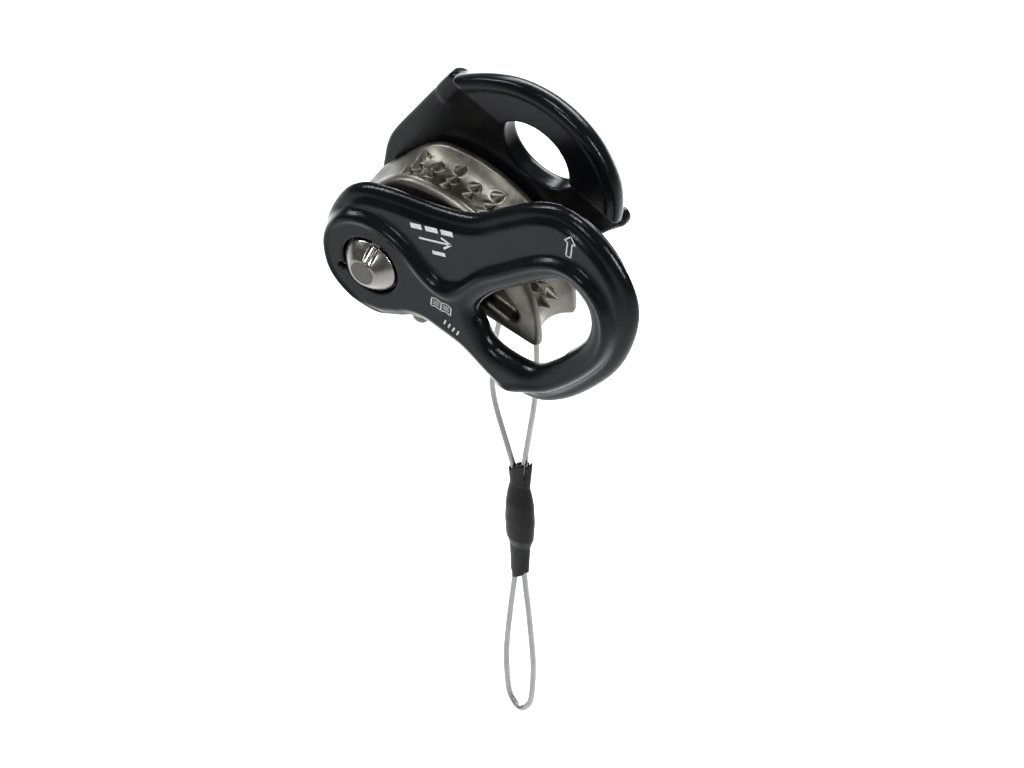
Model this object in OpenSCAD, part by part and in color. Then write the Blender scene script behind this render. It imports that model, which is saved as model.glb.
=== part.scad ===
// Toothed-cam rope clamp: two side plates and a sprung cam on one axle, with a steel pull cable.
// Axes: Y runs along the axle with the rear at +Y, Z is up, and the pull cable hangs along -Z.
// Origin: middle of the karabiner eyelet of the front side plate, midway between the two plates.

/* [Overall] */
// distance along X from the axle to the middle of the front eyelet
reach = 36; // [30:0.5:44]
// height of the eyelet's middle above the axle
rise = 7; // [4:0.5:10]
// width of the cam, which sets the gap between the plates
cam_w = 12.8; // [10:0.2:16]

/* [Side plates] */
// thickness of a plate's flat web
web_t = 3.5; // [2.5:0.25:5]
// height of the raised boss and eyelet ring above the web
boss_h = 1.2; // [0.6:0.1:2]
// height of the anvil land that stands inward from each plate
land_h = 3.1; // [1.8:0.1:3.8]
// radius of the front boss about the axle
boss_r = 10.9; // [9.6:0.1:12]
// angle between the two plates' eyelets, as the rear plate stands swung open
open_angle = 37; // [0:1:60]
// radius of the round karabiner hole in the rear plate
rear_eye_r = 8; // [6.5:0.1:9]
// radius of the wide end of the front eyelet
eye_wide_r = 8.5; // [7:0.1:9]
// radius of the narrow end of the front eyelet
eye_narrow_r = 6.3; // [5.2:0.1:7]

/* [Axle] */
// diameter of the axle
axle_d = 7; // [5.5:0.1:8]
// radius of the domed head
head_r = 5.3; // [4.6:0.1:5.6]
// height of the domed head
head_h = 2.4; // [2.1:0.1:3]

/* [Cam] */
// radius of the cam's hub
hub_r = 10.5; // [10:0.1:10.9]
// radius of the toothed arc
arc_r = 23.9; // [22.8:0.1:24.2]
// depth of the concave rope groove
groove_d = 2.4; // [0.8:0.1:2.8]
// height of one tooth
tooth_h = 1.6; // [0.9:0.1:1.9]
// number of rows of teeth along the arc
tooth_rows = 10; // [6:1:12]

/* [Spring] */
// wire diameter of the cam spring
spring_wire = 0.9; // [0.7:0.05:1]
// number of turns of the cam spring
spring_turns = 2.5; // [1.5:0.5:2.5]

/* [Pull cable] */
// diameter of the steel wire
wire_d = 1.1; // [0.9:0.1:1.4]
// length of the finger loop below the crimp
loop_len = 41; // [26:1:60]

/* [Hidden] */
e = 0.01;
in_y = cam_w / 2 + 0.6;
web_y = in_y + web_t;
out_y = web_y + boss_h;
land_y = in_y - land_h;
axle_r = axle_d / 2;
rise_a = atan2(rise, reach);
eye_dist = norm([reach, rise]);
rear_dist = eye_dist - 1.6;
rail_dist = 34;
ring_w = 7.4;
spring_r = 6.8;
washer_t = 0.5;
arc_c = [8.3, -4.8];
groove_half = cam_w / 2 - 1.7;
groove_r = (groove_half * groove_half + groove_d * groove_d) / (2 * groove_d);
groove_c = arc_r - groove_d + groove_r;
bar_c = [23.4, -1.4];
bar_r = 2.5;
yoke_r = bar_r + 0.25 + wire_d / 2;
crimp_top = -51.6;
crimp_len = 10.5;
crimp_x = 24;

// moves a shape drawn about the axle to the axle's place
module at_axle() {
    translate([-reach, 0, -rise]) children();
}

// gives an outline drawn in X and Z a depth from y0 to y1
module slab(y0, y1) {
    translate([0, y1, 0]) rotate([90, 0, 0]) linear_extrude(y1 - y0) children();
}

// round bar along Y
module bar(x, z, r, y0, y1) {
    translate([x, y1, z]) rotate([90, 0, 0]) cylinder(h = y1 - y0, r = r, $fn = 72);
}

// ---- front side plate ----

// outline of the lobe round the eyelet, grown by g
module lobe(g) {
    a = [reach - 4.38, rise - 5.25];
    b = [reach + 3.06, rise + 4.38];
    c = [reach + 2.19, rise + 8.58];
    ra = 15.58 + g;
    rb = 16.45 + g;
    translate(a) circle(r = ra, $fn = 96);
    translate(b) circle(r = rb, $fn = 96);
    translate(c) circle(r = rb, $fn = 96);
    tangent_pair(a, ra, b, rb);
    tangent_pair(a, ra, c, rb);
}

// four-sided bridge between two circles, just inside their outer tangents
module tangent_pair(p, rp, q, rq) {
    d = norm(q - p);
    t = atan2(q[1] - p[1], q[0] - p[0]);
    s = acos((rp - rq) / d);
    rf = rp - 0.03;
    rg = rq - 0.03;
    polygon([p + rf * dir(t + s), q + rg * dir(t + s), q + rg * dir(t - s), p + rf * dir(t - s)]);
}

function dir(t) = [cos(t), sin(t)];

// openings of the front eyelet, grown by g
module front_eye(g) {
    a = [reach - 5.2, rise - 6];
    b = [reach + 4.4, rise + 4.4];
    translate(a) circle(r = eye_wide_r + g, $fn = 96);
    translate(b) circle(r = eye_narrow_r + g, $fn = 96);
    tangent_pair(a, eye_wide_r + g, b, eye_narrow_r + g);
}

// whole outline of the front plate, with hollowed waist
module front_outline() {
    difference() {
        union() {
            circle(r = boss_r, $fn = 96);
            translate([1.75, 3.94]) circle(r = 11.9, $fn = 96);
            lobe(0);
            polygon([[7, -8.2], [19, -9.6], [reach - 11, rise - 19.2],
                [reach - 4.4, rise], [reach - 6.1, rise + 21.2],
                [19.7, 19.2], [13.1, 17.2], [3.5, 15.8]]);
        }
        translate([12.6, -15.4]) circle(r = 7, $fn = 72);
        translate([16.6, 27.3]) circle(r = 8.8, $fn = 72);
    }
}

module front_plate() {
    color([0.06, 0.065, 0.07]) at_axle() difference() {
        union() {
            slab(-web_y, -in_y) front_outline();
            slab(-out_y, -web_y + e) circle(r = boss_r - 1.05, $fn = 96);
            slab(-out_y, -web_y + e) difference() {
                lobe(-1.22);
                rotate(24) translate([0, 29.75]) square([78.75, 35], center = true);
            }
            slab(-out_y, -web_y + e) front_eye(ring_w - 2.62);
            slab(-in_y - e, -land_y) intersection() {
                lobe(-0.88);
                rotate(rise_a + 19.4 - 90) translate([-52.5, rail_dist]) square([105, 35]);
            }
        }
        slab(-out_y - 0.88, -land_y + 0.88) front_eye(0);
        bar(0, 0, axle_r, -out_y - 0.88, 0);
        bar(0, 0, head_r + 0.44, -out_y - 0.88, -out_y + 1.05);
        bar(-spring_r * cos(27), -spring_r * sin(27), spring_wire / 2 + 0.26, -out_y - 0.88, 0);
    }
}

// ---- rear side plate, drawn in its swung-open place ----

// turns from the front eyelet's line to the rear hole's line
module rear_place() {
    rotate([0, -(rise_a + open_angle), 0]) children();
}

// outline with the hole's middle on the first axis
module rear_outline() {
    h = [rear_dist, 0];
    difference() {
        union() {
            circle(r = 11.2, $fn = 96);
            translate([1.6, 3]) circle(r = 11.9, $fn = 96);
            translate(h + [-1.7, 0.2]) circle(r = 17.1, $fn = 96);
            rotate(13.4) square([29.8, 13.95]);
            polygon([[0, 0], [6, -9.2], [rear_dist - 12.3, -18.6], [rear_dist - 5.3, -19.3],
                [rear_dist + 1.3, -19.3], [rear_dist + 4.4, -17.6], [rear_dist, 0]]);
            polygon([[7, 10.5], [27.4, 19.7], [30, 18.2], [31.5, 16.6], [31.5, 0]]);
            polygon([[0, -11], [28, -15], [28, 15], [0, 11]]);
        }
        translate([10.5, -20.6]) circle(r = 8.3, $fn = 72);
    }
}

module rear_plate() {
    color([0.06, 0.065, 0.07]) at_axle() rear_place() difference() {
        union() {
            slab(in_y, web_y) rear_outline();
            slab(web_y - e, out_y) circle(r = boss_r, $fn = 96);
            slab(web_y - e, out_y) translate([rear_dist, 0])
                circle(r = rear_eye_r + ring_w - 3.4, $fn = 96);
            slab(land_y, in_y + e) intersection() {
                translate([rear_dist - 1.7, 0.2]) circle(r = 16.3, $fn = 96);
                rotate(19.4 - 90) translate([-52.5, rail_dist]) square([105, 35]);
            }
        }
        bar(rear_dist, 0, rear_eye_r, land_y - 0.88, out_y + 0.88);
        bar(0, 0, axle_r + 0.05, 0, out_y + 0.88);
    }
}

// ---- axle and its small parts ----

// domed rivet head on a plain shaft
module axle() {
    top = 2.5;
    color([0.75, 0.75, 0.74]) at_axle() rotate([90, 0, 0]) difference() {
        union() {
            translate([0, 0, -out_y - 1.57]) cylinder(h = 2 * out_y + 1, r = axle_r, $fn = 72);
            translate([0, 0, out_y - 1.05]) cylinder(h = 0.71, r = head_r, $fn = 72);
            translate([0, 0, out_y - 0.35]) cylinder(h = 1.23, r1 = head_r, r2 = head_r - 0.79, $fn = 72);
            translate([0, 0, out_y + 0.88 - e]) cylinder(h = 1.06, r1 = head_r - 0.79, r2 = 3.4, $fn = 72);
            translate([0, 0, out_y + 1.93 - 2 * e]) cylinder(h = head_h - 1.93, r1 = 3.4, r2 = top, $fn = 72);
        }
        translate([1.31, 4.02, out_y - 0.18]) rotate([-18, 0, 0]) cylinder(h = 3.5, r = 0.7, $fn = 32);
    }
}

module axle_collar() {
    color([0.7, 0.7, 0.69]) at_axle() difference() {
        union() {
            bar(0, 0, 5.6, out_y + 0.05, out_y + 1.05);
            translate([0, out_y + 1.57, 0]) rotate([90, 0, 0])
                cylinder(h = 0.53, r1 = 4.9, r2 = 5.6, $fn = 72);
        }
        bar(0, 0, axle_r, out_y - 0.88, out_y + 2.62);
    }
}

module cam_bush() {
    color([0.72, 0.56, 0.3]) at_axle() difference() {
        bar(0, 0, axle_r + 1.05, -cam_w / 2, cam_w / 2);
        bar(0, 0, axle_r + 0.04, -cam_w, cam_w);
    }
}

module washer(y0) {
    difference() {
        bar(0, 0, axle_r + 1.93, y0, y0 + washer_t);
        bar(0, 0, axle_r + 0.04, y0 - 0.88, y0 + 1.75);
    }
}

module front_washer() {
    color([0.8, 0.8, 0.78]) at_axle() washer(-in_y + 0.04);
}

module rear_washer() {
    color([0.8, 0.8, 0.78]) at_axle() washer(in_y - 0.04 - washer_t);
}

// ---- cam ----

// one tooth standing on the groove floor, at angle t round the arc and sideways y
module tooth(t, y) {
    floor_r = groove_c - sqrt(groove_r * groove_r - y * y);
    translate([arc_c[0], y, arc_c[1]]) rotate([0, -t, 0]) translate([floor_r - 0.5, 0, 0])
        rotate([0, 112, 0]) cylinder(h = tooth_h + 0.5, r1 = 0.95, r2 = 0.13, $fn = 16);
}

// rows of teeth, three and two across in turn
module teeth() {
    for (i = [0:tooth_rows - 1]) {
        t = 108 - i * 96 / (tooth_rows - 1);
        n = 3 - (i % 2);
        for (j = [0:n - 1]) tooth(t, (j - (n - 1) / 2) * 2.5);
    }
}

// side outline of the cam
module cam_outline() {
    circle(r = hub_r, $fn = 96);
    difference() {
        translate(arc_c) circle(r = arc_r, $fn = 180);
        polygon([[-50, -50], [-50, 50], [-1.8, 50], [0.2, 17.7], [-6.5, 9.6], [-7, 7], [3.5, -9.2],
            [21, -4], [31.7, -7], [50, -7], [50, -50]]);
    }
    translate([7.3, -13]) circle(r = 1.6, $fn = 32);
    polygon([[2.6, -9.6], [5.76, -13.4], [8.7, -12.3], [10.06, -2.62], [5.25, -3.5]]);
}

module cam() {
    color([0.32, 0.32, 0.29]) at_axle() union() {
        difference() {
            slab(-cam_w / 2, cam_w / 2) cam_outline();
            translate([arc_c[0], 0, arc_c[1]]) rotate([90, 0, 0])
                rotate_extrude($fn = 180) translate([groove_c, 0]) circle(r = groove_r, $fn = 96);
            bar(0, 0, axle_r + 1.05, -cam_w, cam_w);
            difference() {
                bar(0, 0, spring_r + 1.05, -cam_w, -2.27);
                bar(0, 0, spring_r - 1.05, -cam_w, -2.27 + e);
            }
            bar(spring_r * cos(60), spring_r * sin(60), 0.65, -3.5, 0.6);
            difference() {
                translate([18.2, -2.1, -10.5]) cube([9.8, 4.2, 13.12]);
                bar(bar_c[0], bar_c[1], bar_r, -2.62, 2.62);
            }
            for (s = [-1, 1]) side_pocket(s);
        }
        teeth();
    }
}

// three-cornered recess in each flank near the tip
module side_pocket(s) {
    y = cam_w / 2;
    slab(min(s * (y - 2.6), s * (y + 1)), max(s * (y - 2.6), s * (y + 1)))
        polygon([[13.4, -1.2], [27.6, -3.2], [27.2, 2], [24, 7.6], [16.5, 12], [12.6, 11]]);
}

// ---- cam spring ----

// centre line of the spring: leg through the plate, coils, leg into the cam
function spring_y0() = -cam_w / 2 + 0.66;
function spring_pitch() = (cam_w / 2 - 2.3 - 1.4) / spring_turns;
function spring_point(k, n) =
    k == 0 ? [-spring_r * cos(27), -out_y + 0.8, -spring_r * sin(27)] :
    k == 1 ? [-spring_r * cos(27), spring_y0() - 0.5, -spring_r * sin(27)] :
    k < n - 2 ? coil_point((k - 2) / (n - 5)) :
    k == n - 2 ? [spring_r * cos(60), -2, spring_r * sin(60)] :
    [spring_r * cos(60), 0.18, spring_r * sin(60)];
function coil_point(f) =
    let (t = 207 - f * (spring_turns * 360 + 147 - 180))
    [spring_r * cos(t), spring_y0() + f * spring_turns * spring_pitch(), spring_r * sin(t)];

// tube of eight sides along a run of points that keeps near the XZ plane or the Y axis
module tube(p, r) {
    n = len(p);
    m = 8;
    tan = [for (i = [0:n - 1]) unit(p[min(i + 1, n - 1)] - p[max(i - 1, 0)])];
    nrm = [for (i = [0:n - 1]) let (b = abs(tan[i][1]) > 0.7 ? [0, 0, 1] : [0, 1, 0]) unit(cross(tan[i], b))];
    pts = [for (i = [0:n - 1]) let (u = nrm[i], w = cross(tan[i], u))
        for (j = [0:m - 1]) p[i] + r * (cos(j * 360 / m) * u + sin(j * 360 / m) * w)];
    sides = [for (i = [0:n - 2]) for (j = [0:m - 1])
        [i * m + j, (i + 1) * m + j, (i + 1) * m + (j + 1) % m, i * m + (j + 1) % m]];
    caps = [[for (j = [0:m - 1]) j], [for (j = [m - 1:-1:0]) (n - 1) * m + j]];
    polyhedron(points = pts, faces = concat(sides, caps));
}

function unit(v) = v / norm(v);

module cam_spring() {
    n = 56;
    color([0.6, 0.6, 0.6]) at_axle() tube([for (k = [0:n - 1]) spring_point(k, n)], spring_wire / 2);
}

// ---- pull cable ----

// smooth run through a list of points: s samples a span
function smooth(q, s) = [for (i = [0:len(q) - 2]) for (k = [0:s - 1]) spline(q, i, k / s), q[len(q) - 1]];
function spline(q, i, t) =
    let (a = q[max(i - 1, 0)], b = q[i], c = q[i + 1], d = q[min(i + 2, len(q) - 1)])
    0.5 * (2 * b + (c - a) * t + (2 * a - 5 * b + 4 * c - d) * t * t + (3 * b - a - 3 * c + d) * t * t * t);
function flat(q) = [for (p = q) [p[0], 0, p[1]]];

// left strand, round the bar, right strand
yoke_left = [[crimp_x - 0.9, crimp_top], [crimp_x - 1, -48.6], [22.6, -44.8], [18.6, -31.5], [18.1, -24.5],
    [18.6, -17.5], [19.6, -10.5]];
yoke_right = [[27.4, -10.5], [27.6, -17.5], [27.1, -27.2], [25, -42.8], [crimp_x + 1, -48.6],
    [crimp_x + 0.9, crimp_top]];
yoke_arc = [for (t = [180:-18:0]) bar_c + yoke_r * [cos(t), sin(t)]];
module cable_yoke() {
    color([0.7, 0.7, 0.7]) at_axle()
        tube(flat(concat(smooth(yoke_left, 3), yoke_arc, smooth(yoke_right, 3))), wire_d / 2);
}

// finger loop hanging below the crimp
loop_top = crimp_top - crimp_len;
loop_low = loop_top - loop_len;
loop_half = [[0.9, 0, 0], [1, 8, 0], [2.1, 0, 0.45], [2.9, 0, 0.7], [2.5, -4, 1], [1.4, -1, 1]];
function loop_at(s, h) = [crimp_x + s * h[0], loop_top - h[1] - h[2] * loop_len];
loop_path = concat([for (h = loop_half) loop_at(-1, h)], [[crimp_x, loop_low]],
    [for (i = [len(loop_half) - 1:-1:0]) loop_at(1, loop_half[i])]);
module cable_loop() {
    color([0.7, 0.7, 0.7]) at_axle() tube(flat(smooth(loop_path, 4)), wire_d / 2);
}

// oval crimp
module oval(a, b) {
    d = a - b;
    for (s = [-1, 1]) translate([s * d, 0]) circle(r = b, $fn = 48);
    square([2 * d, 2 * b - 0.04], center = true);
}

module crimp_ferrule() {
    color([0.75, 0.75, 0.74]) at_axle() translate([crimp_x, 0, loop_top]) linear_extrude(crimp_len)
        oval(2.3, 1.2);
}

// black sleeve over the crimp and both pairs of strands
module shrink_sleeve() {
    color([0.04, 0.04, 0.04]) at_axle() translate([crimp_x, 0, 0]) difference() {
        union() {
            translate([0, 0, loop_top - 0.9]) linear_extrude(crimp_len + 1.8) oval(2.84, 1.75);
            translate([0, 0, crimp_top - 2]) linear_extrude(9.9) oval(2.78, 1.14);
            translate([0, 0, loop_top - 10.5]) linear_extrude(12.5) oval(2.27, 1.1);
        }
        translate([0, 0, loop_top - 0.26]) linear_extrude(crimp_len + 0.52) oval(2.5, 1.35);
        translate([0, 0, crimp_top - 0.9]) linear_extrude(9.7) oval(2.42, 0.74);
        translate([0, 0, loop_top - 11.4]) linear_extrude(12.3) oval(1.97, 0.7);
    }
}

front_plate();
rear_plate();
axle();
axle_collar();
cam();
cam_bush();
front_washer();
rear_washer();
cam_spring();
cable_yoke();
cable_loop();
crimp_ferrule();
shrink_sleeve();
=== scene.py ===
"""Looks of the toothed-cam rope clamp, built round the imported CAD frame.

Shapes are worked out in millimetres from the axle and placed in the frame in metres.
"""
import math

import bpy
import numpy as np
from mathutils import Matrix, Vector


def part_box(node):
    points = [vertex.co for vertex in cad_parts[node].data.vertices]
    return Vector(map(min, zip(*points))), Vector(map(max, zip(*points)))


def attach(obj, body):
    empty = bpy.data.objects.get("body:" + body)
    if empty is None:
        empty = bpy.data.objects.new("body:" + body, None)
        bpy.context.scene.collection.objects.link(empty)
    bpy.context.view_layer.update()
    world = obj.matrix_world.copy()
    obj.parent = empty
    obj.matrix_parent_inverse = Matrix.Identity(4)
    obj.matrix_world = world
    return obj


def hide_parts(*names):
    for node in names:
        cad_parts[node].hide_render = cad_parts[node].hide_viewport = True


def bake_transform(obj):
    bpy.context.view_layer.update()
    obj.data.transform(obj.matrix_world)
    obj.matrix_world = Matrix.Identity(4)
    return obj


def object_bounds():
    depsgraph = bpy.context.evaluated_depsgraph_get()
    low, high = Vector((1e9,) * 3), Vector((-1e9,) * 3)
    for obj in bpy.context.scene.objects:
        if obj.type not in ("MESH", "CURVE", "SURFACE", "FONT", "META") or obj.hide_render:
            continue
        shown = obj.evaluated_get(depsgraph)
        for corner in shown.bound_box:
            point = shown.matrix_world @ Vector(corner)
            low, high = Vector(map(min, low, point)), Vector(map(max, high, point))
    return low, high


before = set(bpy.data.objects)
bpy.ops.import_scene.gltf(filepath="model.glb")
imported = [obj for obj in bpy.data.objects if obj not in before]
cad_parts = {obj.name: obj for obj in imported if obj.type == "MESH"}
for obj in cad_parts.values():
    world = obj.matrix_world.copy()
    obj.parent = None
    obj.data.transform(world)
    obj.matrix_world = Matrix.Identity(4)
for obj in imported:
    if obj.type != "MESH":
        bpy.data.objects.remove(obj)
CAD_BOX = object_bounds()
MM = 0.001

# ---------------------------------------------------------------- places read from the frame


def middle(node):
    low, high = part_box(node)
    return [(a + b) / 2 for a, b in zip(low, high)]


AXLE_X, _, AXLE_Z = middle("cam_bush")
HALF_CAM = (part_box("cam")[1][1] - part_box("cam")[0][1]) / 2 / MM
FRONT_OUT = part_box("front_plate")[0][1] / MM
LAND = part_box("front_plate")[1][1] / MM
INNER = -(HALF_CAM + 0.6)
CRIMP_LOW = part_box("crimp_ferrule")[0][2] / MM - AXLE_Z / MM
CRIMP_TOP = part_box("crimp_ferrule")[1][2] / MM - AXLE_Z / MM
CRIMP_X = middle("crimp_ferrule")[0] / MM - AXLE_X / MM
WIRE_R = (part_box("cable_loop")[1][1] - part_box("cable_loop")[0][1]) / 2 / MM
REACH, RISE = -AXLE_X / MM, -AXLE_Z / MM
OPEN_ANGLE = math.radians(37) + math.atan2(RISE, REACH)
HOLE_DIST = math.hypot(REACH, RISE) - 1.6
ARC_X, ARC_Z, ARC_R = 8.3, -4.8, 23.9


def place(x, y, z):
    """A point given in mm from the axle, as metres in the row frame."""
    return (AXLE_X + x * MM, y * MM, AXLE_Z + z * MM)


# ---------------------------------------------------------------- camera

AZIMUTH, ELEVATION = math.radians(35.7), math.radians(43.4)
LENS = 1000
DISTANCE = 4.98
SIGHT = Vector((math.sin(AZIMUTH) * math.cos(ELEVATION),
                -math.cos(AZIMUTH) * math.cos(ELEVATION),
                math.sin(ELEVATION)))
RIGHT = Vector((math.cos(AZIMUTH), math.sin(AZIMUTH), 0))
UP = SIGHT.cross(RIGHT)
TARGET = Vector(place(0, FRONT_OUT, 0)) + RIGHT * 24.9 * MM - UP * 20.7 * MM


def make_camera():
    data = bpy.data.cameras.new("camera")
    data.lens = LENS
    data.sensor_width = 36
    data.clip_end = 20
    camera = bpy.data.objects.new("camera", data)
    bpy.context.scene.collection.objects.link(camera)
    turn = Matrix((RIGHT, UP, SIGHT)).transposed().to_4x4()
    camera.matrix_world = Matrix.Translation(TARGET + SIGHT * DISTANCE) @ turn
    bpy.context.scene.camera = camera


make_camera()

# ---------------------------------------------------------------- material helpers


def new_material(name, color, metallic, roughness):
    """A Principled material with its node tree at hand."""
    mat = bpy.data.materials.new(name)
    mat.use_nodes = True
    shader = mat.node_tree.nodes["Principled BSDF"]
    shader.inputs["Base Color"].default_value = (*color, 1)
    shader.inputs["Metallic"].default_value = metallic
    shader.inputs["Roughness"].default_value = roughness
    return mat, mat.node_tree, shader


def noise(tree, scale, detail=4, rough=0.6, stretch=None):
    """Noise in the object's own coordinates; scale is waves per metre."""
    coord = tree.nodes.new("ShaderNodeTexCoord")
    node = tree.nodes.new("ShaderNodeTexNoise")
    node.inputs["Scale"].default_value = scale
    node.inputs["Detail"].default_value = detail
    node.inputs["Roughness"].default_value = rough
    source = coord.outputs["Object"]
    if stretch:
        mapping = tree.nodes.new("ShaderNodeMapping")
        mapping.inputs["Scale"].default_value = stretch
        tree.links.new(source, mapping.inputs["Vector"])
        source = mapping.outputs["Vector"]
    tree.links.new(source, node.inputs["Vector"])
    return node.outputs["Fac"]


def ramp(tree, source, stops):
    """Colour ramp through (place, grey or colour) stops."""
    node = tree.nodes.new("ShaderNodeValToRGB")
    while len(node.color_ramp.elements) < len(stops):
        node.color_ramp.elements.new(0.5)
    for element, (at, value) in zip(node.color_ramp.elements, stops):
        element.position = at
        element.color = (*value, 1) if isinstance(value, tuple) else (value, value, value, 1)
    tree.links.new(source, node.inputs["Fac"])
    return node.outputs["Color"]


def bump(tree, shader, source, depth, strength=1.0, below=None):
    """Bump of the given depth in metres, on top of another bump if one is given."""
    node = tree.nodes.new("ShaderNodeBump")
    node.inputs["Strength"].default_value = strength
    node.inputs["Distance"].default_value = depth
    tree.links.new(source, node.inputs["Height"])
    if below:
        tree.links.new(below, node.inputs["Normal"])
    tree.links.new(node.outputs["Normal"], shader.inputs["Normal"])
    return node.outputs["Normal"]


def anodised():
    """Satin black anodised forging: fine blasted grain, faint smears and rubbed spots."""
    mat, tree, shader = new_material("black_anodised", (0.012, 0.0125, 0.014), 0.0, 0.3)
    shader.inputs["Specular IOR Level"].default_value = 0.2
    smear = noise(tree, 120, 5, 0.65)
    tint = ramp(tree, smear, [(0.3, (0.002, 0.0022, 0.003)), (0.7, (0.0045, 0.0049, 0.006))])
    tree.links.new(tint, shader.inputs["Base Color"])
    rough = ramp(tree, noise(tree, 260, 6, 0.7), [(0.25, 0.13), (0.75, 0.23)])
    tree.links.new(rough, shader.inputs["Roughness"])
    grain = bump(tree, shader, noise(tree, 4200, 3, 0.6), 0.00003, 0.8)
    bump(tree, shader, noise(tree, 700, 4, 0.55), 0.00006, 0.35, grain)
    return mat


def cast_steel():
    """Blasted investment-cast steel, dark olive grey, paler where rope has polished it."""
    mat, tree, shader = new_material("cam_steel", (0.2, 0.19, 0.165), 1.0, 0.42)
    tint = ramp(tree, noise(tree, 150, 6, 0.65), [(0.3, (0.1, 0.095, 0.078)), (0.72, (0.26, 0.25, 0.215))])
    tree.links.new(tint, shader.inputs["Base Color"])
    rough = ramp(tree, noise(tree, 420, 5, 0.7), [(0.25, 0.3), (0.75, 0.52)])
    tree.links.new(rough, shader.inputs["Roughness"])
    grain = bump(tree, shader, noise(tree, 2600, 4, 0.7), 0.00005, 0.7)
    bump(tree, shader, noise(tree, 520, 3, 0.5), 0.00012, 0.4, grain)
    return mat


def stainless(name="stainless", color=(0.36, 0.345, 0.31), low=0.17, high=0.3):
    """Turned stainless steel with fine rings left by the tool."""
    mat, tree, shader = new_material(name, color, 1.0, low)
    tint = ramp(tree, noise(tree, 300, 5, 0.6), [(0.3, tuple(c * 0.82 for c in color)), (0.7, color)])
    tree.links.new(tint, shader.inputs["Base Color"])
    rough = ramp(tree, noise(tree, 900, 4, 0.7), [(0.3, low), (0.7, high)])
    tree.links.new(rough, shader.inputs["Roughness"])
    bump(tree, shader, noise(tree, 2400, 3, 0.6, (1, 0.15, 1)), 0.00002, 0.4)
    return mat


def shrink_tube():
    """Heat-shrunk polymer: satin black, softly uneven."""
    mat, tree, shader = new_material("shrink_tube", (0.018, 0.0165, 0.0155), 0.0, 0.42)
    shader.inputs["Specular IOR Level"].default_value = 0.2
    tint = ramp(tree, noise(tree, 240, 4, 0.6),
                [(0.3, (0.0025, 0.0023, 0.0022)), (0.7, (0.0065, 0.006, 0.0055))])
    tree.links.new(tint, shader.inputs["Base Color"])
    rough = ramp(tree, noise(tree, 700, 5, 0.7), [(0.3, 0.34), (0.7, 0.55)])
    tree.links.new(rough, shader.inputs["Roughness"])
    fine = bump(tree, shader, noise(tree, 3000, 3, 0.6), 0.00003, 0.4)
    bump(tree, shader, noise(tree, 420, 3, 0.5), 0.00012, 0.5, fine)
    return mat


def bronze():
    mat, tree, shader = new_material("bronze", (0.5, 0.33, 0.15), 1.0, 0.35)
    tint = ramp(tree, noise(tree, 500, 4, 0.6), [(0.3, (0.4, 0.26, 0.11)), (0.7, (0.56, 0.38, 0.18))])
    tree.links.new(tint, shader.inputs["Base Color"])
    bump(tree, shader, noise(tree, 3000, 3, 0.6), 0.00002, 0.4)
    return mat


def print_ink():
    """Thin white marking ink, a little worn."""
    mat, tree, shader = new_material("print_ink", (0.78, 0.78, 0.76), 0.0, 0.55)
    tint = ramp(tree, noise(tree, 1600, 5, 0.7), [(0.3, (0.6, 0.6, 0.59)), (0.55, (0.82, 0.82, 0.8))])
    tree.links.new(tint, shader.inputs["Base Color"])
    bump(tree, shader, noise(tree, 5000, 3, 0.6), 0.00001, 0.4)
    return mat


ANODISED = anodised()
CAST = cast_steel()
STAINLESS = stainless()
END_FACE = stainless("stainless_end", (0.13, 0.127, 0.118), 0.24, 0.42)
WIRE = stainless("wire_rope", (0.36, 0.36, 0.35), 0.22, 0.4)
SHRINK = shrink_tube()
BRONZE = bronze()
INK = print_ink()

# ---------------------------------------------------------------- smooth solids from fields
# A field is negative inside a solid, in mm. Round blends between surfaces come from soft maxima.


def soft_max(a, b, k):
    h = np.maximum(k - np.abs(a - b), 0) / k
    return np.maximum(a, b) + h * h * k / 4


def soft_min(a, b, k):
    return -soft_max(-a, -b, k)


def disc(x, z, cx, cz, r):
    return np.hypot(x - cx, z - cz) - r


def capsule(x, z, a, b, ra, rb):
    """Distance to two discs joined by their tangents, near enough for mild tapers."""
    dx, dz = b[0] - a[0], b[1] - a[1]
    t = np.clip(((x - a[0]) * dx + (z - a[1]) * dz) / (dx * dx + dz * dz), 0, 1)
    return np.hypot(x - a[0] - t * dx, z - a[1] - t * dz) - (ra + (rb - ra) * t)


def step_up(d, width):
    """1 well inside d, 0 well outside, with a smooth shoulder of that width."""
    t = np.clip(0.5 - d / width, 0, 1)
    return t * t * (3 - 2 * t)


def ridge(d, at, width):
    """Bead of unit height that runs where the distance d is at."""
    t = np.clip(1 - ((d - at) / width) ** 2, 0, 1)
    return t * t


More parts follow.
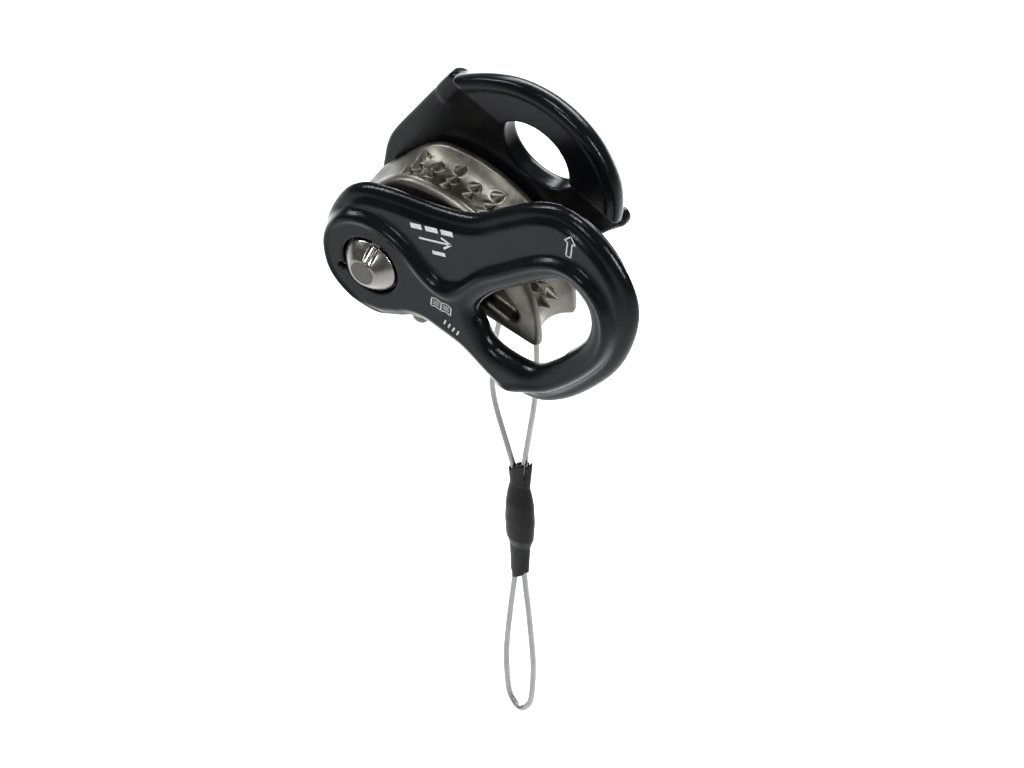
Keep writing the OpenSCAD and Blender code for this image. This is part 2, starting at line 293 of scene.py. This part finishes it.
def surface(field, low, step):
    """Vertices and quads of the field's zero surface, one vertex to a cell, as surface nets do."""
    inside = field < 0
    shape = np.array(field.shape)
    lins, spots, fans = [], [], []
    for axis in range(3):
        a = [slice(None)] * 3
        b = [slice(None)] * 3
        a[axis], b[axis] = slice(0, -1), slice(1, None)
        a, b = tuple(a), tuple(b)
        idx = np.argwhere(inside[a] != inside[b])
        f0 = field[a][tuple(idx.T)]
        f1 = field[b][tuple(idx.T)]
        pos = idx.astype(float)
        pos[:, axis] += f0 / (f0 - f1)
        u, v = (axis + 1) % 3, (axis + 2) % 3
        cells = []
        for du, dv in ((-1, -1), (0, -1), (0, 0), (-1, 0)):
            cell = idx.copy()
            cell[:, u] += du
            cell[:, v] += dv
            lin = np.ravel_multi_index(tuple(cell.T), tuple(shape))
            cells.append(lin)
            lins.append(lin)
            spots.append(pos)
        fan = np.stack(cells, 1)
        out = f0 > 0
        fan[out] = fan[out][:, ::-1]
        fans.append(fan)
    lins, spots = np.concatenate(lins), np.concatenate(spots)
    used, index = np.unique(lins, return_inverse=True)
    count = np.bincount(index)
    verts = np.stack([np.bincount(index, spots[:, i]) / count for i in range(3)], 1)
    quads = np.searchsorted(used, np.concatenate(fans))
    return verts * step + np.array(low), quads


def solid(name, field, low, high, step, material, turn=0.0):
    """Mesh object of a field given in mm from the axle. turn swings it about the axle, eyelet upward."""
    axes = [np.arange(a, b + step, step) for a, b in zip(low, high)]
    x, y, z = np.meshgrid(*axes, indexing="ij", sparse=True)
    verts, quads = surface(field(x, y, z), low, step)
    c, s = math.cos(turn), math.sin(turn)
    vx = verts[:, 0] * c - verts[:, 2] * s
    vz = verts[:, 0] * s + verts[:, 2] * c
    verts = np.stack([vx * MM + AXLE_X, verts[:, 1] * MM, vz * MM + AXLE_Z], 1)
    mesh = bpy.data.meshes.new(name)
    mesh.from_pydata(verts.tolist(), [], quads.tolist())
    mesh.polygons.foreach_set("use_smooth", [True] * len(mesh.polygons))
    mesh.materials.append(material)
    mesh.update()
    obj = bpy.data.objects.new(name, mesh)
    bpy.context.scene.collection.objects.link(obj)
    return obj


# ---------------------------------------------------------------- pull cable

BAR_X, BAR_Z, BAR_R = 23.4, -1.4, 2.5
YOKE_R = BAR_R + 0.25 + WIRE_R
LAY_LENGTH = 5.2
STRANDS = 6


def spline(points, samples):
    """Catmull-Rom curve through the given points."""
    q = np.array(points, float)
    out = []
    for i in range(len(q) - 1):
        a, b, c, d = q[max(i - 1, 0)], q[i], q[i + 1], q[min(i + 2, len(q) - 1)]
        for k in range(samples):
            t = k / samples
            out.append(0.5 * (2 * b + (c - a) * t + (2 * a - 5 * b + 4 * c - d) * t * t
                              + (3 * b - a - 3 * c + d) * t ** 3))
    out.append(q[-1])
    return np.array(out)


def even(points, gap):
    """The same curve with points an even gap apart."""
    p = np.array(points)
    run = np.concatenate([[0], np.cumsum(np.linalg.norm(np.diff(p, axis=0), axis=1))])
    n = max(2, int(round(run[-1] / gap)) + 1)
    at = np.linspace(0, run[-1], n)
    return np.stack([np.interp(at, run, p[:, i]) for i in range(p.shape[1])], 1), run[-1]


def wire_rope(name, route):
    """One wire rope along a route in X and Z: a tube whose section has strands that wind round it."""
    path, length = even(route, 0.22)
    around = STRANDS * 5
    tangent = np.gradient(path, axis=0)
    tangent /= np.linalg.norm(tangent, axis=1)[:, None]
    side = np.stack([-tangent[:, 1], tangent[:, 0]], 1)
    run = np.linspace(0, length, len(path))
    verts = []
    for (px, pz), (nx, nz), s in zip(path, side, run):
        for j in range(around):
            a = 2 * math.pi * j / around
            wind = a - 2 * math.pi * s / LAY_LENGTH
            lobe = abs(math.cos(STRANDS * wind / 2))
            r = WIRE_R * (0.8 + 0.2 * math.sqrt(lobe))
            verts.append(place(px + r * math.cos(a) * nx, r * math.sin(a), pz + r * math.cos(a) * nz))
    n = len(path)
    faces = [(i * around + j, i * around + (j + 1) % around, (i + 1) * around + (j + 1) % around, (i + 1) * around + j)
             for i in range(n - 1) for j in range(around)]
    faces.append(tuple(range(around))[::-1])
    faces.append(tuple((n - 1) * around + j for j in range(around)))
    mesh = bpy.data.meshes.new(name)
    mesh.from_pydata(verts, [], faces)
    mesh.polygons.foreach_set("use_smooth", [True] * (len(faces) - 2) + [False] * 2)
    mesh.materials.append(WIRE)
    obj = bpy.data.objects.new(name, mesh)
    bpy.context.scene.collection.objects.link(obj)
    return obj, [place(px, 0, pz) for px, pz in path], length * MM


def yoke_route():
    left = [(CRIMP_X - 0.9, CRIMP_TOP), (CRIMP_X - 1, CRIMP_TOP + 3), (22.6, -44.8), (18.6, -31.5), (18.1, -24.5),
            (18.6, -17.5), (19.6, -10.5)]
    right = [(27.4, -10.5), (27.6, -17.5), (27.1, -27.2), (25, -42.8), (CRIMP_X + 1, CRIMP_TOP + 3),
             (CRIMP_X + 0.9, CRIMP_TOP)]
    arc = [(BAR_X + YOKE_R * math.cos(t), BAR_Z + YOKE_R * math.sin(t)) for t in np.linspace(math.pi, 0, 11)]
    return spline(left + arc + right, 8)


def loop_route():
    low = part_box("cable_loop")[0][2] / MM - AXLE_Z / MM + WIRE_R
    long = CRIMP_LOW - low
    half = [(0.9, 0, 0), (1, 8, 0), (2.1, 0, 0.45), (2.9, 0, 0.7), (2.5, -4, 1), (1.4, -1, 1)]
    points = [(CRIMP_X - w, CRIMP_LOW - down - share * long) for w, down, share in half]
    points += [(CRIMP_X, low)]
    points += [(CRIMP_X + w, CRIMP_LOW - down - share * long) for w, down, share in reversed(half)]
    return spline(points, 12)


def sleeve_field(x, y, z):
    """Sleeve drawn thin over the wires and swollen over the crimp, with two mouths at the top."""
    dx = x - CRIMP_X
    levels = [-73, -67, -63, -61, -57, -53, -51, -48.5, -45, -42]
    halves = [1.75, 1.95, 2.15, 2.75, 3.0, 2.85, 2.6, 2.1, 2.45, 2.7]
    thick = [0.95, 1.0, 1.2, 1.75, 1.85, 1.75, 1.45, 1.05, 0.95, 0.95]
    a = np.interp(z, levels, halves)
    b = np.interp(z, levels, thick)
    body = (np.sqrt((dx / a) ** 2 + (y / b) ** 2) - 1) * b
    top = (z - (-43.6 + 0.62 * dx)) * 0.75
    bottom = (-70.6 + 0.75 * dx - z) * 0.75
    f = soft_max(body, soft_max(top, bottom, 0.2), 0.35)
    for side in (-1, 1):
        hole = np.hypot(dx - side * np.interp(z, [-51, -42], [1.0, 1.55]), y) - 0.66
        f = soft_max(f, -np.maximum(hole, -48.5 - z), 0.15)
        low_hole = np.hypot(dx - side * np.interp(z, [-73, -63], [1.15, 1.0]), y) - 0.62
        f = soft_max(f, -np.maximum(low_hole, z + 67.0), 0.15)
    notch = np.hypot(dx + 0.15, y * 0.5) - 0.22
    return soft_max(f, -np.maximum(notch, -45.6 - z), 0.3)


yoke, yoke_path, yoke_length = wire_rope("pull_wire_yoke", yoke_route())
loop, loop_path, loop_length = wire_rope("pull_wire_finger_loop", loop_route())
sleeve = solid("shrink_sleeve_skin", sleeve_field,
               (CRIMP_X - 4, -2.6, -75), (CRIMP_X + 4, 2.6, -40), 0.13, SHRINK)
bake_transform(yoke)
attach(loop, "pull_cable")
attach(sleeve, "pull_cable")
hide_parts("cable_yoke")
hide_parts("cable_loop")
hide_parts("shrink_sleeve")

# ---------------------------------------------------------------- side plates

EYE = [(22.1, 0.8), (23.4, -2.8), (25.6, -6.1), (29.8, -7.2), (33.7, -6.9), (37.5, -3.9), (42.2, 1.3), (45.2, 6),
       (46.3, 11), (45.2, 15.2), (41.8, 17.5), (37.5, 15.8), (30.7, 10.3), (25.8, 6.1)]
FRONT = [(-12, 0), (-10.4, -6.8), (-5.2, -11.2), (1, -11.8), (5.6, -10.2), (8.6, -8.6), (11.5, -8.2), (14.7, -9),
         (18.9, -10.3), (23.4, -13.2), (27.8, -15.6), (32, -16.4), (36.8, -15), (43.2, -9.8), (50.4, -0.6),
         (54.2, 9), (54.9, 17.3), (51.8, 24.6), (45.7, 30.2), (39.3, 32.2), (33, 30.2), (26.1, 25.2), (19.8, 20.4),
         (12.5, 18.2), (6, 17.3), (1, 16.5), (-4, 14.9), (-8, 11.4), (-11, 5.5)]
REAR = [(-10.9, 0), (-9.4, -5.6), (-5.5, -9.5), (0, -11), (5, -10.2), (9, -9), (12.5, -9), (16.5, -11.2), (21, -15),
        (26.5, -17.8), (32, -19), (38, -18.7), (43, -17.2), (48.2, -12.6), (51, -6.6), (51.7, -1), (50.5, 5),
        (47.8, 9.9), (43.8, 13.9), (39, 16.6), (34, 18.4), (29.5, 19.4), (25.6, 19.4), (20, 18.5), (12.6, 17.1),
        (4.5, 15.5), (0.8, 14.2), (-2.3, 12.3), (-6.2, 9.4), (-9.6, 5.2)]


def closed_curve(points, samples):
    """Closed Catmull-Rom curve through the points."""
    n = len(points)
    looped = [points[(i - 1) % n] for i in range(n + 3)]
    return spline(looped, samples)[samples:-samples - 1]


def outline_distance(points, x, z, samples=5):
    """Signed distance from a closed curve through the points, negative inside."""
    curve = closed_curve(points, samples)
    px, pz = np.broadcast_arrays(x[:, 0, 0][:, None], z[0, 0, :][None, :])
    best = np.full(px.shape, 1e9)
    crossings = np.zeros(px.shape, int)
    for (ax, az), (bx, bz) in zip(curve, np.roll(curve, -1, 0)):
        dx, dz = bx - ax, bz - az
        t = np.clip(((px - ax) * dx + (pz - az) * dz) / (dx * dx + dz * dz), 0, 1)
        best = np.minimum(best, (px - ax - t * dx) ** 2 + (pz - az - t * dz) ** 2)
        if az != bz:
            spans = (az > pz) != (bz > pz)
            crossings += spans & (px < ax + (pz - az) / dz * dx)
    best = np.sqrt(best)
    return np.where(crossings % 2 == 1, -best, best)[:, None, :]


def rail(x, z, angle, dist):
    """Negative beyond the straight edge of the inward land."""
    return dist - (x * math.cos(angle) + z * math.sin(angle))


def front_raised(x, z, eye):
    """Distance from the raised part: boss, lower strip and the broad ring round the eyelet."""
    low = capsule(x, z, (6, -4), (24, -8), 8.4, 8.4)
    return soft_min(soft_min(disc(x, z, -0.2, -0.2, 10.9), low, 6), eye - 4.9, 5)


def front_field(x, y, z):
    outline, eye = outline_distance(FRONT, x, z), outline_distance(EYE, x, z)
    raised = front_raised(x, z, eye)
    face = FRONT_OUT + 1.35 - 1.35 * step_up(raised, 1.3) - 0.25 * ridge(raised, -1.2, 0.9)
    face = face + 0.85 * (1 - step_up(outline + 2.5, 1.5)) * step_up(-raised - 0.2, 1.2)
    face = face + 0.45 * (1 - step_up(outline + 1.9, 1.5)) * step_up(raised, 1.2)
    land = soft_max(rail(x, z, math.atan2(RISE, REACH) + math.radians(18.8), 34.6), outline + 3.6, 1)
    back = INNER + (LAND - INNER) * step_up(land, 1.0)
    f = soft_max(face - y, outline, 2.4)
    f = soft_max(f, y - back, 0.9)
    f = soft_max(f, -eye, 3.2)
    axis = np.hypot(x, z)
    f = soft_max(f, -(axis - 3.4), 0.05)
    f = soft_max(f, -np.maximum(axis - 5.85, y - (FRONT_OUT + 1.3)), 0.35)
    leg = np.hypot(x + 6.8 * math.cos(math.radians(27)), z + 6.8 * math.sin(math.radians(27))) - 0.72
    return soft_max(f, -leg, 0.25)


def rear_field(x, y, z):
    outline = outline_distance(REAR, x, z)
    hole = disc(x, z, HOLE_DIST, 0, 8)
    lobe = np.clip((x - 26) / 9, 0, 1)
    taper = lobe * lobe * (3 - 2 * lobe) * 1.55 * soft_max(y - 7.0, y * 0, 1.6)
    edge = rail(x, z, math.radians(18.8), 34.6)
    inner = -INNER - (LAND - INNER) * step_up(edge, 1.5)
    inner = inner - 0.22 * ridge(outline, -1.6, 1.3) * step_up(edge + 1, 1.5)
    boss = np.minimum(disc(x, z, 0, 0, 10.2), disc(x, z, HOLE_DIST, 0, 11.6))
    outer = -FRONT_OUT - 1.2 + 1.2 * step_up(boss, 1.8)
    f = soft_max(inner - y, outline + taper, 1.1)
    f = soft_max(f, y - outer, 1.8)
    ear = np.minimum(capsule(x, z, (23, 16.8), (26.8, 17.9), 1.9, 1.7),
                     capsule(x, z, (34, -16.4), (39.6, -17.2), 2.0, 1.8))
    f = soft_min(f, soft_max(ear, np.abs(y - 8.6) - 1.5, 1.2), 0.8)
    f = soft_max(f, -hole, 0.35)
    f = soft_max(f, -hole + np.clip(1.7 - (outer - y), 0, None) ** 2 * 0.42, 0.3)
    return soft_max(f, -(np.hypot(x, z) - 3.62), 0.2)


PLATE_STEP = 0.26
front = solid("front_side_plate", front_field,
              (-15, FRONT_OUT - 1, -20), (58, LAND + 1, 36), PLATE_STEP, ANODISED)
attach(front, "frame")
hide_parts("front_plate")
rear = solid("rear_side_plate", rear_field, (-13, -LAND - 1.5, -22), (54, -FRONT_OUT + 1, 22), PLATE_STEP, ANODISED,
             OPEN_ANGLE)
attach(rear, "rear_cheek")
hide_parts("rear_plate")

# ---------------------------------------------------------------- cam

TOOTH_ROWS = 10
TOOTH_FIRST, TOOTH_SPAN = 108, 96
TOOTH_PITCH = 2.5
TOOTH_H, TOOTH_FOOT, TOOTH_LEAN = 2.0, 0.98, 0.5
GROOVE_D, GROOVE_HALF = 2.4, HALF_CAM - 1.7
GROOVE_R = (GROOVE_HALF ** 2 + GROOVE_D ** 2) / (2 * GROOVE_D)


def groove_floor(y):
    """Radius of the grooved face about the arc's middle, at the sideways place y."""
    reach = np.sqrt(np.maximum(GROOVE_R ** 2 - y * y, 0.01))
    return np.minimum(ARC_R - GROOVE_D + GROOVE_R - reach, ARC_R)


def cam_field(x, y, z):
    dx, dz = x - ARC_X, z - ARC_Z
    radius = np.hypot(dx, dz)
    face = radius - groove_floor(y)
    left = -((x + 6.5) * 0.77 - (z - 9.6) * 0.638) + 0.4
    under = soft_max(-(z + 5.0 + 0.16 * (x - 21)), -(z + 5.0) - 0.9 * (x - 3), 1.0)
    lobe = soft_max(soft_max(face, left, 3.0), under, 1.2)
    hub = np.hypot(x, z) - 10.5
    f = soft_min(lobe, hub, 1.5)
    heel = capsule(x, z, (4.8, -7), (6.4, -13), 2.3, 1.7)
    f = soft_min(f, heel, 0.8)
    f = soft_max(f, np.abs(y) - HALF_CAM, 1.3)
    pocket = soft_max(capsule(x, z, (17.5, 4.6), (26.2, -0.9), 4.6, 1.7), radius - ARC_R + 3.0, 1.0)
    f = soft_max(f, -soft_max(pocket, HALF_CAM - 2.6 - np.abs(y), 1.2), 1.2)
    slot = np.maximum(np.maximum(np.abs(x - 23.1) - 4.9, z - 2.6), np.abs(y) - 2.1)
    slot = np.maximum(slot, -(np.hypot(x - BAR_X, z - BAR_Z) - BAR_R))
    f = soft_max(f, -slot, 0.4)
    f = soft_max(f, -(np.hypot(x, z) - 4.7), 0.3)
    ring = np.maximum(np.maximum(np.hypot(x, z) - 8.0, 5.6 - np.hypot(x, z)), y + 2.3)
    f = soft_max(f, -ring, 0.2)
    for t, side in tooth_places():
        f = np.minimum(f, tooth(dx, y, dz, t, side))
    return f


def tooth_places():
    for i in range(TOOTH_ROWS):
        n = 3 - i % 2
        for j in range(n):
            yield math.radians(TOOTH_FIRST - i * TOOTH_SPAN / (TOOTH_ROWS - 1)), (j - (n - 1) / 2) * TOOTH_PITCH


def tooth(dx, y, dz, t, side):
    """One leaning spike with a flared foot, standing on the groove floor at angle t."""
    c, s = math.cos(t), math.sin(t)
    out = dx * c + dz * s - float(groove_floor(np.array(side)))
    along = dx * s - dz * c
    lean = along - TOOTH_LEAN * np.clip(out, 0, None)
    tail = np.where(lean < 0, lean * 0.72, lean)
    wide = np.hypot(tail, y - side)
    h = TOOTH_H
    cone = (wide - TOOTH_FOOT * (1 - np.clip(out, -0.6, h) / (h + 0.1)) ** 1.1) * 0.8
    return np.maximum(np.maximum(cone, out - h), -out - 0.7)


CAM_STEP = 0.21
cam = solid("toothed_cam", cam_field, (-12, -7.4, -16), (35, 7.4, 22), CAM_STEP, CAST)
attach(cam, "cam_body")
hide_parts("cam")

# ---------------------------------------------------------------- axle, collar and spring


def axle_field(x, y, z):
    r = np.hypot(x, z)
    base = FRONT_OUT + 1.05
    up = base - y
    dome_r = 5.3 - 0.72 * np.clip(up - 0.9, 0, None) - 0.12 * np.clip(up - 0.9, 0, None) ** 2
    head = soft_max((r - dome_r) * 0.8, up - 3.45, 0.25)
    head = soft_max(head, -up, 0.2)
    shaft = np.maximum(r - 3.5, y - (-FRONT_OUT + 1.6))
    shaft = np.maximum(shaft, base - 0.2 - y)
    f = np.minimum(head, shaft)
    pit = np.hypot(x - 1.0, (z - 4.3) * 0.9 + 0.55 * (up - 1.6)) - 0.85
    return soft_max(f, -np.maximum(pit, 0.4 - up), 0.2)


AXLE_STEP = 0.12
axle = solid("domed_axle", axle_field,
             (-6, FRONT_OUT - 3, -6), (6, -FRONT_OUT + 2.4, 6), AXLE_STEP, STAINLESS)
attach(axle, "frame")
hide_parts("axle")


def flat_disc(name, x, y, z, r, material, body, rings=10):
    """Thin turned face: concentric rings of small steps."""
    verts, faces, m = [place(x, y, z)], [], 64
    for i in range(1, rings + 1):
        lift = 0.012 * (i % 2)
        verts += [place(x + r * i / rings * math.cos(2 * math.pi * j / m), y - lift,
                        z + r * i / rings * math.sin(2 * math.pi * j / m)) for j in range(m)]
    faces += [(0, 1 + (j + 1) % m, 1 + j) for j in range(m)]
    for i in range(rings - 1):
        a, b = 1 + i * m, 1 + (i + 1) * m
        faces += [(a + j, a + (j + 1) % m, b + (j + 1) % m, b + j) for j in range(m)]
    mesh = bpy.data.meshes.new(name)
    mesh.from_pydata(verts, [], faces)
    mesh.materials.append(material)
    obj = bpy.data.objects.new(name, mesh)
    bpy.context.scene.collection.objects.link(obj)
    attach(obj, body)
    return obj


end_face = flat_disc("turned_end_face", 0, FRONT_OUT + 1.05 - 3.47, 0, 2.35, END_FACE, "frame")

for node, material in (("axle_collar", STAINLESS), ("cam_bush", BRONZE), ("front_washer", STAINLESS),
                       ("rear_washer", STAINLESS), ("cam_spring", WIRE), ("crimp_ferrule", STAINLESS)):
    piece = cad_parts[node]
    piece.data.materials.clear()
    piece.data.materials.append(material)

# ---------------------------------------------------------------- printed marks
# Generic marks stand where the real one carries a name, pictograms and a date code.

INK_LIFT = 0.03


class Marks:
    """Strokes of ink in the plane of a face; u runs with the plate's marks' baseline."""

    def __init__(self):
        self.verts, self.faces = [], []

    def stroke(self, origin, level, points, width, turn=0.0):
        c, s = math.cos(turn), math.sin(turn)
        p = np.array([(u * c - v * s, u * s + v * c) for u, v in points])
        for a, b in zip(p[:-1], p[1:]):
            d = (b - a) / np.linalg.norm(b - a)
            n = np.array([-d[1], d[0]]) * width / 2
            e = d * width * 0.3
            base = len(self.verts)
            for q in (a - e - n, b + e - n, b + e + n, a - e + n):
                self.verts.append(place(origin[0] + q[0], level, origin[1] + q[1]))
            self.faces.append((base, base + 1, base + 2, base + 3))

    def build(self, name, body):
        mesh = bpy.data.meshes.new(name)
        mesh.from_pydata(self.verts, [], self.faces)
        mesh.materials.append(INK)
        obj = bpy.data.objects.new(name, mesh)
        bpy.context.scene.collection.objects.link(obj)
        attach(obj, body)
        return obj


def print_marks():
    """Bars and an arrow, a plain open book, an arrow on the lobe and a row of ticks."""
    marks = Marks()
    panel = FRONT_OUT + 1.35 - INK_LIFT
    raised = FRONT_OUT - INK_LIFT
    block, tilt = (13.2, 11.6), math.radians(15.8)
    for u0, u1 in ((-4.4, -2.6), (-1.1, 1.0), (2.4, 4.4)):
        marks.stroke(block, panel, [(u0, 2.9), (u1, 2.9)], 1.1, tilt)
    for points in ([(-3.4, 0.4), (3.2, 0.4)], [(1.8, 1.5), (3.6, 0.4), (1.8, -0.7)]):
        marks.stroke(block, panel, points, 0.42, tilt)
    marks.stroke(block, panel, [(-1.0, -2.2), (1.4, -2.2)], 0.8, tilt)
    book, lean = (15.4, -1.2), math.radians(-4)
    for side in (-1, 1):
        page = [(0, -1.1), (side * 1.1, -0.8), (side * 2.1, -1.1),
                (side * 2.1, 0.8), (side * 1.1, 1.1), (0, 0.8)]
        marks.stroke(book, raised, page, 0.2, lean)
        for row in (-0.35, 0.05, 0.45):
            marks.stroke(book, raised, [(side * 0.4, row), (side * 1.7, row)], 0.13, lean)
    marks.stroke(book, raised, [(0, -1.1), (0, 0.8)], 0.2, lean)
    for u in (-1.5, -0.5, 0.5, 1.5):
        marks.stroke((17.6, -5.2), raised, [(u, -0.5), (u, 0.5)], 0.3, math.radians(-22))
    lobe, steep = (42.0, 26.4), math.radians(-6)
    arrow = [(-0.5, -2.4), (-0.5, 1.0), (-1.2, 1.0), (0, 2.6), (1.2, 1.0), (0.5, 1.0), (0.5, -2.4), (-0.5, -2.4)]
    marks.stroke(lobe, panel, arrow, 0.24, steep)
    return marks.build("printed_marks", "frame")


print_marks()

# ---------------------------------------------------------------- floor and light


def make_floor():
    drop = 0.09
    low = CAD_BOX[0][2] - drop
    bpy.ops.mesh.primitive_plane_add(size=14, location=(0, 0, low))
    floor = bpy.context.object
    floor.name = "studio_floor"
    mat, tree, shader = new_material("floor_paper", (0.66, 0.66, 0.66), 0.0, 0.9)
    shader.inputs["Specular IOR Level"].default_value = 0.1
    bump(tree, shader, noise(tree, 60, 3, 0.5), 0.0002, 0.2)
    floor.data.materials.append(mat)


def area_light(name, away, size, power, color=(1, 1, 1), down=False):
    """Soft box at a place given in metres from the object's middle, aimed at the middle or straight down."""
    data = bpy.data.lights.new(name, "AREA")
    data.shape = "RECTANGLE"
    data.size, data.size_y = size
    data.energy = power
    data.color = color
    lamp = bpy.data.objects.new(name, data)
    bpy.context.scene.collection.objects.link(lamp)
    lamp.location = Vector(place(20, 0, 5)) + Vector(away)
    if not down:
        lamp.rotation_euler = (-Vector(away)).to_track_quat("-Z", "Y").to_euler()


def make_light():
    world = bpy.data.worlds.new("studio")
    bpy.context.scene.world = world
    world.use_nodes = True
    sky = world.node_tree.nodes["Background"]
    sky.inputs["Color"].default_value = (0.92, 0.96, 1, 1)
    sky.inputs["Strength"].default_value = 0.14
    area_light("sweep", (-0.13, 0.42, 0.2), (0.5, 0.36), 9.5, (0.97, 0.98, 1), down=True)
    area_light("top", (0.05, -0.15, 1.1), (0.3, 0.12), 6, (0.95, 0.97, 1))
    area_light("right", (0.9, -0.15, 0.45), (0.06, 0.4), 6.5, (0.96, 0.98, 1))
    area_light("front", (0.12, -0.9, 0.55), (0.15, 0.15), 2.5)
    area_light("left_strip", (-0.75, -0.15, 0.55), (0.05, 0.5), 4.5, (0.95, 0.97, 1))


make_floor()
make_light()
scene = bpy.context.scene
scene.view_settings.view_transform = "Standard"
scene.view_settings.look = "None"
